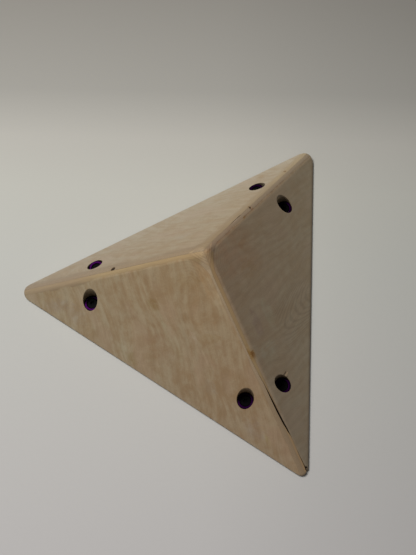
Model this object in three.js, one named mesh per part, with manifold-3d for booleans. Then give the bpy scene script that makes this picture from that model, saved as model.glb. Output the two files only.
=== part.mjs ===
// Climbing volume: one corner of a cube in birch plywood, fixed to a climbing wall by six screws.
// Three boards, each half of a square cut on its diagonal, meet in mitres along three ridges.
// Frame: z = 0 is the wall, +Z points out of the wall, +Y is up the wall, and the origin is the
// middle of the base triangle, straight behind the tip. Lengths are in millimetres.

import * as THREE from 'three';
import { RoundedBoxGeometry } from 'three/addons/geometries/RoundedBoxGeometry.js';
import { mergeVertices } from 'three/addons/utils/BufferGeometryUtils.js';
import Module from 'manifold-3d';

const wasm = await Module();
wasm.setup();

// Boards
const RIDGE_LENGTH = 250;
const BOARD_THICKNESS = 18;
const GLUE_GAP = 0.3;
const RIDGE_RADIUS = 7.5;
const ARRIS_RADIUS = 2;
const SAW_OVERRUN = 5;

// Rounds of the three corners on the wall, as seen from in front: each was sanded by hand
const LEFT_CORNER_RADIUS = 13.7;
const TOP_CORNER_RADIUS = 15.3;
const BOTTOM_CORNER_RADIUS = 11;

// Bores for the fixings, drilled square to the wall and not to the sloping face: the play is all
// round what stands in them
const BORE_DEPTH = 16;
const BORE_PLAY = 1.2;
const SHANK_HOLE_PLAY = 0.5;
const FIXING_CLEARANCE = 0.3;

// Cup washers of anodised aluminium, which hold the screw's head within their rim
const WASHER_DIAMETER = 13.6;
const WASHER_RIM = 1.8;
const WASHER_FLOOR = 0.9;
const WASHER_COLLAR = 1.6;
const LIP_ROUND = 0.45;

// Countersunk wood screws with a six-lobe recess
const SCREW_LENGTH = 60;
const SHANK_DIAMETER = 5;
const HEAD_EDGE = 0.5;
const POINT_LENGTH = 7;
const RECESS_DIAMETER = 4.6;
const RECESS_LOBE_DEPTH = 0.4;
const RECESS_DEPTH = 2.2;

// Brads that pin each mitre while its glue sets
const BRAD_DIAMETER = 1.6;
const BRAD_HEAD_DIAMETER = 2;
const BRAD_HEAD_HEIGHT = 0.8;
const BRAD_LENGTH = 35;
const BRAD_POINT = 3;
const BRAD_SUNK = 1.5;
const BRAD_INSET = 4.8;
const BRAD_CLEARANCE = 0.3;

// Facets of the round shapes
const RIDGE_FACETS = 5;
const CORNER_FACETS = 12;
const BORE_FACETS = 40;
const SCREW_FACETS = 24;
const BRAD_FACETS = 10;
const ARRIS_FACETS = 4;
const LOBES = 6;
const FACETS_PER_LOBE = 4;

// Shape of the cube corner
const HEIGHT = RIDGE_LENGTH / Math.sqrt(3);
const BASE_SIDE = RIDGE_LENGTH * Math.SQRT2;
const BASE_INRADIUS = BASE_SIDE / Math.sqrt(12);
const BASE_CIRCUMRADIUS = BASE_SIDE / Math.sqrt(3);
const FACE_SLOPE = Math.atan(Math.SQRT2);
const MITRE_ANGLE = Math.PI / 4;
const THIRD_TURN = (2 * Math.PI) / 3;

// Fits around the washer and the screw
const HEAD_DIAMETER = WASHER_DIAMETER - 2 * WASHER_RIM;
const BORE_DIAMETER = WASHER_DIAMETER + 2 * BORE_PLAY;
const SHANK_HOLE_DIAMETER = SHANK_DIAMETER + 2 * SHANK_HOLE_PLAY;

// The three sides, by the turn about Z that carries the right-hand one to it. The bores stand
// along the base edge from the nearer corner, and in from that edge, as the photographed one is drilled.
const SIDES = [
  {
    name: 'right',
    turn: 0,
    bores: [
      { name: 'bottom', end: -1, alongShare: 0.245, insetShare: 0.284 },
      { name: 'top', end: 1, alongShare: 0.252, insetShare: 0.315 },
    ],
  },
  {
    name: 'upper',
    turn: THIRD_TURN,
    bores: [
      { name: 'right', end: -1, alongShare: 0.246, insetShare: 0.305 },
      { name: 'left', end: 1, alongShare: 0.25, insetShare: 0.291 },
    ],
  },
  {
    name: 'lower',
    turn: 2 * THIRD_TURN,
    bores: [
      { name: 'left', end: -1, alongShare: 0.247, insetShare: 0.294 },
      { name: 'right', end: 1, alongShare: 0.254, insetShare: 0.293 },
    ],
  },
];

// Unit directions from the tip down the three ridges
const RIDGES = {
  top: ridgeDirection(THIRD_TURN / 2),
  left: ridgeDirection(THIRD_TURN / 2 + THIRD_TURN),
  bottom: ridgeDirection(-THIRD_TURN / 2),
};

// Corners on the wall, by the turn about Z from the X axis
const CORNERS = [
  { azimuth: -THIRD_TURN / 2, radius: BOTTOM_CORNER_RADIUS },
  { azimuth: THIRD_TURN / 2, radius: TOP_CORNER_RADIUS },
  { azimuth: (3 * THIRD_TURN) / 2, radius: LEFT_CORNER_RADIUS },
];

// Brads stand in a row along each ridge: `across` leads from the ridge over the board that they
// are driven through, and `into` is the way they are driven, into the edge of the other board.
const BRAD_ROWS = [
  { ridge: 'left', across: 'top', into: 'bottom', ridgeShares: [0.44, 0.8] },
  { ridge: 'top', across: 'left', into: 'bottom', ridgeShares: [0.38, 0.73] },
  { ridge: 'bottom', across: 'top', into: 'left', ridgeShares: [0.36, 0.78] },
];

const MATERIALS = {
  plywood: new THREE.MeshStandardMaterial({ color: 0xcbb391, roughness: 0.62, metalness: 0 }),
  anodised: new THREE.MeshStandardMaterial({ color: 0x4a0f6b, roughness: 0.25, metalness: 1 }),
  blackSteel: new THREE.MeshStandardMaterial({ color: 0x16161a, roughness: 0.4, metalness: 0.8 }),
  brightSteel: new THREE.MeshStandardMaterial({ color: 0x9a9a98, roughness: 0.35, metalness: 1 }),
};

function ridgeDirection(azimuth) {
  const toWall = FACE_SLOPE - Math.PI / 2;
  const flat = Math.sin(FACE_SLOPE);
  return new THREE.Vector3(Math.cos(azimuth) * flat, Math.sin(azimuth) * flat, Math.sin(toWall));
}

// Booleans on closed three.js geometry

function toSolid(geometry, matrix = new THREE.Matrix4()) {
  const bare = geometry.clone().applyMatrix4(matrix);
  bare.deleteAttribute('normal');
  bare.deleteAttribute('uv');
  const merged = mergeVertices(bare);
  const mesh = new wasm.Mesh({
    numProp: 3,
    vertProperties: new Float32Array(merged.attributes.position.array),
    triVerts: new Uint32Array(merged.index.array),
  });
  return new wasm.Manifold(mesh);
}

function toGeometry(solid) {
  const mesh = solid.getMesh();
  const geometry = new THREE.BufferGeometry();
  geometry.setAttribute('position', new THREE.BufferAttribute(mesh.vertProperties, mesh.numProp));
  geometry.setIndex(new THREE.BufferAttribute(mesh.triVerts, 1));
  geometry.computeVertexNormals();
  return geometry;
}

function namedMesh(name, geometry, material) {
  const mesh = new THREE.Mesh(geometry, material);
  mesh.name = name;
  return mesh;
}

// A cylinder along Z from one height to another
function roundBar(diameter, from, to, facets) {
  return new THREE.CylinderGeometry(diameter / 2, diameter / 2, to - from, facets)
    .rotateX(Math.PI / 2)
    .translate(0, 0, (from + to) / 2);
}

// A body of revolution about Z from a profile of [radius, height] pairs
function turned(profile, facets) {
  const points = profile.map(([radius, height]) => new THREE.Vector2(radius, height));
  return new THREE.LatheGeometry(points, facets).rotateX(Math.PI / 2);
}

// Places in a side's frame, where its base edge runs along Y at x = BASE_INRADIUS

function boreAxis(bore) {
  const x = BASE_INRADIUS * (1 - bore.insetShare);
  const y = bore.end * BASE_SIDE * (1 / 2 - bore.alongShare);
  const faceHeight = (BASE_INRADIUS - x) * Math.tan(FACE_SLOPE);
  return { x, y, seat: faceHeight - BORE_DEPTH };
}

function sideMatrix(side) {
  return new THREE.Matrix4().makeRotationZ(side.turn);
}

// The board's own frame: its corner at the tip, X and Y down its two ridges, Z out of its face
function boardMatrix() {
  const outward = new THREE.Vector3().crossVectors(RIDGES.bottom, RIDGES.top);
  return new THREE.Matrix4().makeBasis(RIDGES.bottom, RIDGES.top, outward).setPosition(0, 0, HEIGHT);
}

// Cutters

// The blank is a right triangle of board, with an allowance that the sander and the saw take off
function boardBlank() {
  const leg = RIDGE_LENGTH + 2 * SAW_OVERRUN;
  const outline = new THREE.Shape()
    .moveTo(-SAW_OVERRUN, -SAW_OVERRUN)
    .lineTo(leg, -SAW_OVERRUN)
    .lineTo(-SAW_OVERRUN, leg);
  return new THREE.ExtrudeGeometry(outline, {
    depth: BOARD_THICKNESS + SAW_OVERRUN,
    bevelEnabled: false,
  }).translate(0, 0, -BOARD_THICKNESS);
}

// A cube sanded round, whose near corner is the tip: it gives the ridges and the tip their rounds
function sandedCube() {
  const side = RIDGE_LENGTH + 2 * RIDGE_RADIUS;
  return new RoundedBoxGeometry(side, side, side, RIDGE_FACETS, RIDGE_RADIUS)
    .translate(side / 2, side / 2, -side / 2);
}

// Everything within the base triangle with its corners rounded, for as high as the volume stands
function sandedCorners() {
  const outline = new THREE.Shape();
  for (const { azimuth, radius } of CORNERS) {
    const reach = BASE_CIRCUMRADIUS - radius / Math.sin(THIRD_TURN / 4);
    const x = reach * Math.cos(azimuth);
    const y = reach * Math.sin(azimuth);
    outline.absarc(x, y, radius, azimuth - THIRD_TURN / 2, azimuth + THIRD_TURN / 2, false);
  }
  return new THREE.ExtrudeGeometry(outline, {
    depth: HEIGHT + 2 * SAW_OVERRUN,
    curveSegments: CORNER_FACETS,
    bevelEnabled: false,
  }).translate(0, 0, -SAW_OVERRUN);
}

// Saws for the mitres under the board's X ridge and its Y ridge, each half the glue line back
function mitreSaws() {
  const length = 2 * (RIDGE_LENGTH + SAW_OVERRUN);
  const width = RIDGE_LENGTH;
  const underX = new THREE.BoxGeometry(length, width, width)
    .translate(0, (GLUE_GAP - width) / 2, 0)
    .rotateX(MITRE_ANGLE);
  const underY = new THREE.BoxGeometry(width, length, width)
    .translate((GLUE_GAP - width) / 2, 0, 0)
    .rotateY(-MITRE_ANGLE);
  return [underX, underY];
}

// Everything behind the wall plane
function wallSaw() {
  const width = 2 * BASE_SIDE;
  return new THREE.BoxGeometry(width, width, BASE_SIDE).translate(0, 0, -BASE_SIDE / 2);
}

// The sharp edge against the wall, outside the arc that eases it, swept along the base edge
function arrisCutter() {
  const tangent = ARRIS_RADIUS / Math.tan(FACE_SLOPE / 2);
  const reach = ARRIS_RADIUS;
  const outline = new THREE.Shape()
    .moveTo(-tangent, -reach)
    .lineTo(reach, -reach)
    .lineTo(reach, reach)
    .lineTo(-tangent * Math.cos(FACE_SLOPE) + reach, tangent * Math.sin(FACE_SLOPE) + reach)
    .lineTo(-tangent * Math.cos(FACE_SLOPE), tangent * Math.sin(FACE_SLOPE))
    .absarc(-tangent, ARRIS_RADIUS, ARRIS_RADIUS, Math.PI / 2 - FACE_SLOPE, -Math.PI / 2, true);
  const length = BASE_SIDE + 2 * SAW_OVERRUN;
  return new THREE.ExtrudeGeometry(outline, {
    depth: length,
    curveSegments: ARRIS_FACETS,
    bevelEnabled: false,
  })
    .translate(0, 0, -length / 2)
    .rotateX(Math.PI / 2)
    .translate(BASE_INRADIUS, 0, 0);
}

// Brads

// Depth of the rounded ridge under the sharp board face, at the row of brads
function bradSurfaceDepth() {
  const inward = Math.max(RIDGE_RADIUS - BRAD_INSET, 0);
  return RIDGE_RADIUS - Math.sqrt(RIDGE_RADIUS ** 2 - inward ** 2);
}

// The place of a brad's head, with its own +Z pointing back out of the hole
function bradMatrix(row, ridgeShare) {
  const into = RIDGES[row.into];
  const head = new THREE.Vector3(0, 0, HEIGHT)
    .addScaledVector(RIDGES[row.ridge], ridgeShare * RIDGE_LENGTH)
    .addScaledVector(RIDGES[row.across], BRAD_INSET)
    .addScaledVector(into, bradSurfaceDepth() + BRAD_SUNK);
  const turn = new THREE.Quaternion().setFromUnitVectors(
    new THREE.Vector3(0, 0, 1),
    into.clone().negate(),
  );
  return new THREE.Matrix4().compose(head, turn, new THREE.Vector3(1, 1, 1));
}

function bradGeometry() {
  const profile = [
    [0, -BRAD_LENGTH],
    [BRAD_DIAMETER / 2, BRAD_POINT - BRAD_LENGTH],
    [BRAD_DIAMETER / 2, -BRAD_HEAD_HEIGHT],
    [BRAD_HEAD_DIAMETER / 2, -BRAD_HEAD_HEIGHT],
    [BRAD_HEAD_DIAMETER / 2, 0],
    [0, 0],
  ];
  return turned(profile, BRAD_FACETS);
}

function bradHole() {
  const outside = bradSurfaceDepth() + BRAD_SUNK + SAW_OVERRUN;
  const diameter = BRAD_HEAD_DIAMETER + 2 * BRAD_CLEARANCE;
  return roundBar(diameter, -BRAD_LENGTH - BRAD_CLEARANCE, outside, BRAD_FACETS);
}

function bradPlaces() {
  return BRAD_ROWS.flatMap((row) =>
    row.ridgeShares.map((share, i) => ({
      name: `brad_${row.ridge}_ridge_${i + 1}`,
      matrix: bradMatrix(row, share),
    })),
  );
}

// Panels

function panelGeometry(side) {
  const board = boardMatrix();
  const toSide = sideMatrix(side).invert();
  let panel = toSolid(boardBlank(), board)
    .intersect(toSolid(sandedCube(), board))
    .intersect(toSolid(sandedCorners(), toSide));
  for (const saw of mitreSaws()) {
    panel = panel.subtract(toSolid(saw, board));
  }
  panel = panel.subtract(toSolid(wallSaw())).subtract(toSolid(arrisCutter()));
  for (const bore of side.bores) {
    const { x, y, seat } = boreAxis(bore);
    const counterbore = roundBar(BORE_DIAMETER, seat, seat + BORE_DEPTH + BORE_DIAMETER, BORE_FACETS);
    const shankHole = roundBar(SHANK_HOLE_DIAMETER, -SAW_OVERRUN, seat + FIXING_CLEARANCE, SCREW_FACETS);
    const place = new THREE.Matrix4().makeTranslation(x, y, 0);
    panel = panel.subtract(toSolid(counterbore, place)).subtract(toSolid(shankHole, place));
  }
  for (const brad of bradPlaces()) {
    panel = panel.subtract(toSolid(bradHole(), toSide.clone().multiply(brad.matrix)));
  }
  return toGeometry(panel);
}

// Fixings, each with its lowest point of support at z = 0

// A turned cup: a cone for the screw's head, and a rolled lip that stands above it
function washerGeometry() {
  const outer = WASHER_DIAMETER / 2;
  const bore = SHANK_DIAMETER / 2 + FIXING_CLEARANCE;
  const cup = HEAD_DIAMETER / 2 + FIXING_CLEARANCE;
  const shoulder = WASHER_FLOOR + cup - bore;
  const height = shoulder + WASHER_COLLAR;
  const profile = [
    [bore, 0],
    [outer - LIP_ROUND, 0],
    [outer, LIP_ROUND],
    [outer, height - LIP_ROUND],
    [outer - LIP_ROUND, height],
    [cup + LIP_ROUND, height],
    [cup, height - LIP_ROUND],
    [cup, shoulder],
    [bore, WASHER_FLOOR],
    [bore, 0],
  ];
  return turned(profile, BORE_FACETS);
}

// Height of the screw head's cone above the washer's foot, so that the two cones keep their clearance
function headSeat() {
  return WASHER_FLOOR + FIXING_CLEARANCE * (Math.SQRT2 - 1);
}

function recessOutline() {
  const middle = (RECESS_DIAMETER - RECESS_LOBE_DEPTH) / 2;
  const swing = RECESS_LOBE_DEPTH / 2;
  const steps = LOBES * FACETS_PER_LOBE;
  const points = Array.from({ length: steps }, (_, i) => {
    const angle = (2 * Math.PI * i) / steps;
    const radius = middle + swing * Math.cos(LOBES * angle);
    return new THREE.Vector2(radius * Math.cos(angle), radius * Math.sin(angle));
  });
  return new THREE.Shape(points);
}

function screwGeometry() {
  const shank = SHANK_DIAMETER / 2;
  const head = HEAD_DIAMETER / 2;
  const neck = headSeat();
  const top = neck + head - shank + HEAD_EDGE;
  const tip = top - SCREW_LENGTH;
  const profile = [
    [0, tip],
    [shank, tip + POINT_LENGTH],
    [shank, neck],
    [head, top - HEAD_EDGE],
    [head, top],
    [0, top],
  ];
  const recess = new THREE.ExtrudeGeometry(recessOutline(), {
    depth: RECESS_DEPTH + HEAD_EDGE,
    bevelEnabled: false,
  }).translate(0, 0, top - RECESS_DEPTH);
  return toGeometry(toSolid(turned(profile, SCREW_FACETS)).subtract(toSolid(recess)));
}

// The assembled volume

function sideGroup(side) {
  const group = new THREE.Group();
  group.rotation.z = side.turn;
  group.add(namedMesh(`${side.name}_panel`, panelGeometry(side), MATERIALS.plywood));
  for (const bore of side.bores) {
    const { x, y, seat } = boreAxis(bore);
    const fixing = new THREE.Group();
    fixing.position.set(x, y, seat + FIXING_CLEARANCE);
    fixing.add(
      namedMesh(`cup_washer_${side.name}_${bore.name}`, washerGeometry(), MATERIALS.anodised),
      namedMesh(`screw_${side.name}_${bore.name}`, screwGeometry(), MATERIALS.blackSteel),
    );
    group.add(fixing);
  }
  return group;
}

function bradMesh({ name, matrix }) {
  const mesh = namedMesh(name, bradGeometry(), MATERIALS.brightSteel);
  matrix.decompose(mesh.position, mesh.quaternion, mesh.scale);
  return mesh;
}

const volume = new THREE.Group();
volume.add(...SIDES.map(sideGroup), ...bradPlaces().map(bradMesh));

export default volume;
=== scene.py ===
"""A plywood climbing volume on its wall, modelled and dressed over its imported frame.

Sizes are in millimetres and become metres where they meet Blender. +Z points out of the wall and
+Y is up the wall. The volume is one corner of a cube: from the tip, three ridges run down to the
left, the top and the bottom corner of its triangular back.
"""

from __future__ import annotations

import logging
import math
from dataclasses import dataclass
from enum import Enum
from typing import Any, Callable, Sequence

import bmesh
import bpy
from mathutils import Matrix, Quaternion, Vector


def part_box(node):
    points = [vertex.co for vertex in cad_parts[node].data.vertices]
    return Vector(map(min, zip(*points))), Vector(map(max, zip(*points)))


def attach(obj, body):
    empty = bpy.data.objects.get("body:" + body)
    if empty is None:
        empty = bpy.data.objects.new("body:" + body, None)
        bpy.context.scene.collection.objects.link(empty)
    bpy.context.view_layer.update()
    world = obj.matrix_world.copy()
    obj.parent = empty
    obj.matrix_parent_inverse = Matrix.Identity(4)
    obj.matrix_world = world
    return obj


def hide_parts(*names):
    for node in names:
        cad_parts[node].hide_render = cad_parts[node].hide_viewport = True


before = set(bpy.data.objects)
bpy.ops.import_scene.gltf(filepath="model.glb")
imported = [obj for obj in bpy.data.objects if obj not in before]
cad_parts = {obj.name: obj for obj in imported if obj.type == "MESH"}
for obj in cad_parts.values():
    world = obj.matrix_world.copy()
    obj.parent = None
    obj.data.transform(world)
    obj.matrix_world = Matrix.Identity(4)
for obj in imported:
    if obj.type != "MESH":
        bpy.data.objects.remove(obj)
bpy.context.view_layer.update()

LOG = logging.getLogger("climbing_volume")
MM = 0.001
BODY = "root"

Colour = tuple[float, float, float]
Point = tuple[float, float, float]


class Ridge(Enum):
    """A ridge of the volume, by the corner of the wall that it runs down to."""

    LEFT = (-math.sqrt(2 / 3), 0.0, -math.sqrt(1 / 3))
    TOP = (math.sqrt(1 / 6), math.sqrt(1 / 2), -math.sqrt(1 / 3))
    BOTTOM = (math.sqrt(1 / 6), -math.sqrt(1 / 2), -math.sqrt(1 / 3))

    @property
    def way(self) -> Vector:
        """The direction from the tip down this ridge."""
        return Vector(self.value)


class Slot(Enum):
    """A material slot of the record."""

    PLYWOOD = "birch_plywood"
    WASHER = "anodised_washer"
    SCREW = "black_screw"


@dataclass(frozen=True)
class CubeCorner:
    """The sharp form that the boards are cut to, before any edge is rounded."""

    ridge: float = 250.0

    @property
    def tip(self) -> Vector:
        """The sharp tip, straight in front of the origin."""
        return Vector((0.0, 0.0, self.ridge / math.sqrt(3)))

    def down(self, point: Vector, ridge: Ridge) -> float:
        """How far a point in millimetres lies down the way of a ridge, from the tip."""
        return (point - self.tip).dot(ridge.way)

    def place(self, left: float, top: float, bottom: float) -> Vector:
        """The point that lies so far down the ways of the three ridges."""
        return self.tip + left * Ridge.LEFT.way + top * Ridge.TOP.way + bottom * Ridge.BOTTOM.way


FORM = CubeCorner()


# Hand tools


class Pick(Enum):
    """What is selected in edit mode, by where a mesh keeps it."""

    EDGE = "edges"
    FACE = "faces"


class Bench:
    """One mesh on the bench, shaped with Blender's own tools."""

    def __init__(self, name: str) -> None:
        """Takes the object that was added last, and puts its place into its mesh.

        Args:
            name: the piece's name.
        """
        self.obj = bpy.context.object
        self.obj.name = name
        self.obj.data.name = name
        bpy.ops.object.transform_apply(location=True, rotation=True, scale=True)

    @staticmethod
    def clear() -> None:
        """Deselects every object, so that the next tool acts on its own piece alone."""
        bpy.ops.object.select_all(action="DESELECT")

    @classmethod
    def cylinder(cls, name: str, radius: float, low: Vector, high: Vector, facets: int) -> Bench:
        """Adds a capped cylinder between two points.

        Args:
            name: the piece's name.
            radius: its radius in millimetres.
            low: the middle of one end in millimetres.
            high: the middle of the other end in millimetres.
            facets: how many sides it has.

        Returns:
            The cylinder on the bench.
        """
        cls.clear()
        along = high - low
        bpy.ops.mesh.primitive_cylinder_add(
            vertices=facets,
            radius=radius * MM,
            depth=along.length * MM,
            location=(low + high) / 2 * MM,
            rotation=along.to_track_quat("Z", "Y").to_euler(),
        )
        return cls(name)

    @classmethod
    def ball(cls, name: str, middle: Vector, half_sizes: Sequence[float], turn: Quaternion) -> Bench:
        """Adds a stretched ball.

        Args:
            name: the piece's name.
            middle: its middle in millimetres.
            half_sizes: its half length along its own three axes in millimetres.
            turn: how its own axes are turned.

        Returns:
            The ball on the bench.
        """
        cls.clear()
        bpy.ops.mesh.primitive_ico_sphere_add(
            subdivisions=3,
            radius=1.0,
            location=middle * MM,
            rotation=turn.to_euler(),
            scale=[size * MM for size in half_sizes],
        )
        return cls(name)

    @classmethod
    def turned(cls, name: str, profile: Sequence[tuple[float, float]], facets: int, ring: bool) -> Bench:
        """Turns a profile round the Z axis, as on a lathe.

        Args:
            name: the piece's name.
            profile: its corners as radius and height in millimetres.
            facets: how many steps a full turn has.
            ring: true if the profile closes on itself, false if both ends lie on the axis.

        Returns:
            The turned piece on the bench.
        """
        cls.clear()
        bpy.ops.mesh.primitive_circle_add(vertices=len(profile), radius=MM, fill_type="NOTHING")
        piece = cls(name)
        for vertex, (radius, height) in zip(piece.obj.data.vertices, profile):
            vertex.co = (radius * MM, 0.0, height * MM)
        piece.open()
        if not ring:
            ends = {0, len(profile) - 1}
            piece.pick(Pick.EDGE, lambda edge: {corner.index for corner in edge.verts} == ends)
            bpy.ops.mesh.delete(type="EDGE_FACE")
        bpy.ops.mesh.select_all(action="SELECT")
        bpy.ops.mesh.spin(steps=facets, angle=2 * math.pi, center=(0, 0, 0), axis=(0, 0, 1))
        bpy.ops.mesh.select_all(action="SELECT")
        bpy.ops.mesh.remove_doubles(threshold=0.002 * MM)
        bpy.ops.mesh.normals_make_consistent(inside=False)
        piece.close()
        return piece

    def grip(self) -> None:
        """Selects this piece alone and makes it the active one."""
        self.clear()
        self.obj.select_set(True)
        bpy.context.view_layer.objects.active = self.obj

    def copy(self, name: str) -> Bench:
        """Copies the piece with a mesh of its own.

        Args:
            name: the copy's name.

        Returns:
            The copy on the bench.
        """
        self.grip()
        bpy.ops.object.duplicate(linked=False)
        return Bench(name)

    def open(self) -> None:
        """Goes into edit mode with nothing selected."""
        self.grip()
        bpy.ops.object.mode_set(mode="EDIT")
        bpy.ops.mesh.select_all(action="DESELECT")

    def close(self) -> None:
        """Goes back to object mode."""
        bpy.ops.object.mode_set(mode="OBJECT")

    def pick(self, kind: Pick, test: Callable[[Any], bool]) -> bool:
        """Selects the edges or the faces that pass a test.

        Args:
            kind: whether edges or faces are selected.
            test: says of one of them whether it is wanted.

        Returns:
            True if any was selected.
        """
        bpy.ops.mesh.select_mode(type=kind.name)
        mesh = bmesh.from_edit_mesh(self.obj.data)
        mesh.normal_update()
        items = getattr(mesh, kind.value)
        for item in items:
            item.select = test(item)
        bmesh.update_edit_mesh(self.obj.data)
        return any(item.select for item in items)

    def saw(self, point: Vector, outward: Vector) -> None:
        """Cuts off what lies on the outward side of a plane, and closes the cut.

        Args:
            point: a point of the plane in millimetres.
            outward: the plane's normal, towards what falls off.
        """
        bpy.ops.mesh.select_all(action="SELECT")
        bpy.ops.mesh.bisect(
            plane_co=point * MM, plane_no=outward, use_fill=True, clear_outer=True, threshold=1e-6
        )

    def move(self, way: Callable[[Vector], Vector]) -> None:
        """Moves every corner of the mesh, in millimetres.

        Args:
            way: gives the new place of a corner from its old one.
        """
        for vertex in self.obj.data.vertices:
            vertex.co = way(vertex.co / MM) * MM
        self.obj.data.update()

    def finish_with(self, kind: str, **settings: Any) -> None:
        """Adds a modifier and applies it.

        Args:
            kind: the modifier's type.
            settings: its settings.
        """
        self.grip()
        modifier = self.obj.modifiers.new(kind.title(), kind)
        for key, value in settings.items():
            setattr(modifier, key, value)
        bpy.ops.object.modifier_apply(modifier=modifier.name)

    def cut(self, tool: Bench) -> None:
        """Takes the form of another piece out of this one, and removes that piece."""
        self.finish_with("BOOLEAN", operation="DIFFERENCE", solver="EXACT", object=tool.obj)
        tool.scrap()

    def weld(self, other: Bench) -> None:
        """Makes this piece and another one solid, and removes the other one."""
        self.finish_with("BOOLEAN", operation="UNION", solver="EXACT", object=other.obj)
        other.scrap()

    def scrap(self) -> None:
        """Throws the piece away."""
        self.clear()
        mesh = self.obj.data
        bpy.data.objects.remove(self.obj)
        bpy.data.meshes.remove(mesh)

    def smooth(self, angle: float) -> None:
        """Shades the piece smooth but for edges sharper than an angle, with flat faces kept flat.

        Args:
            angle: the angle in degrees.
        """
        self.grip()
        bpy.ops.object.shade_smooth_by_angle(angle=math.radians(angle))
        self.finish_with("WEIGHTED_NORMAL", mode="FACE_AREA", weight=100, keep_sharp=True)

    def hand_over(self, finish: Finish, slot: Slot, nodes: Sequence[str]) -> None:
        """Dresses the finished piece and ties it to the frame.

        Args:
            finish: the finish it is dressed in.
            slot: the record's slot of that finish; not used.
            nodes: the CAD nodes that it stands for.
        """
        self.obj.data.materials.clear()
        self.obj.data.materials.append(finish.material())
        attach(self.obj, BODY)
        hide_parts(*nodes)
        LOG.info("%s: %d faces", self.obj.name, len(self.obj.data.polygons))


# Shader sums


class Wire:
    """One number, colour or vector on its way through a material."""

    def __init__(self, recipe: Recipe, socket: Any) -> None:
        """Wraps an output socket of a recipe's node."""
        self.recipe = recipe
        self.socket = socket

    def _sum(self, operation: str, first: Any, second: Any) -> Wire:
        """Adds one Math node.

        Args:
            operation: the node's operation.
            first: its first value or link.
            second: its second value or link.

        Returns:
            The node's result.
        """
        return self.recipe.node("ShaderNodeMath", {"operation": operation}, {0: first, 1: second})

    def __add__(self, other: Any) -> Wire:
        """The sum."""
        return self._sum("ADD", self, other)

    __radd__ = __add__

    def __sub__(self, other: Any) -> Wire:
        """The difference."""
        return self._sum("SUBTRACT", self, other)

    def __rsub__(self, other: Any) -> Wire:
        """The difference from a number."""
        return self._sum("SUBTRACT", other, self)

    def __mul__(self, other: Any) -> Wire:
        """The product."""
        return self._sum("MULTIPLY", self, other)

    __rmul__ = __mul__

    def __truediv__(self, other: Any) -> Wire:
        """The quotient."""
        return self._sum("DIVIDE", self, other)

    def __abs__(self) -> Wire:
        """The size without its sign."""
        return self._sum("ABSOLUTE", self, 0.0)

    def __mod__(self, other: Any) -> Wire:
        """The rest of a division, never below zero."""
        return self._sum("FLOORED_MODULO", self, other)

    def least(self, other: Any) -> Wire:
        """The lesser of two."""
        return self._sum("MINIMUM", self, other)

    def most(self, other: Any) -> Wire:
        """The greater of two."""
        return self._sum("MAXIMUM", self, other)

    def floor(self) -> Wire:
        """The whole number below."""
        return self._sum("FLOOR", self, 0.0)

    def root(self) -> Wire:
        """The square root."""
        return self._sum("SQRT", self, 0.0)

    def sine(self) -> Wire:
        """The sine of an angle in radians."""
        return self._sum("SINE", self, 0.0)

    def dot(self, way: Sequence[float]) -> Wire:
        """How far a vector reaches along a fixed direction."""
        return self.recipe.node(
            "ShaderNodeVectorMath", {"operation": "DOT_PRODUCT"}, {0: self, 1: tuple(way)}, output=1
        )

    def rise(self, low: float, high: float) -> Wire:
        """Zero below one value and one above another, smooth between; high may be below low.

        Args:
            low: where the result is zero.
            high: where the result is one.

        Returns:
            The smooth step.
        """
        return self.recipe.node(
            "ShaderNodeMapRange",
            {"interpolation_type": "SMOOTHSTEP"},
            {"Value": self, "From Min": low, "From Max": high, "To Min": 0.0, "To Max": 1.0},
        )


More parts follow.
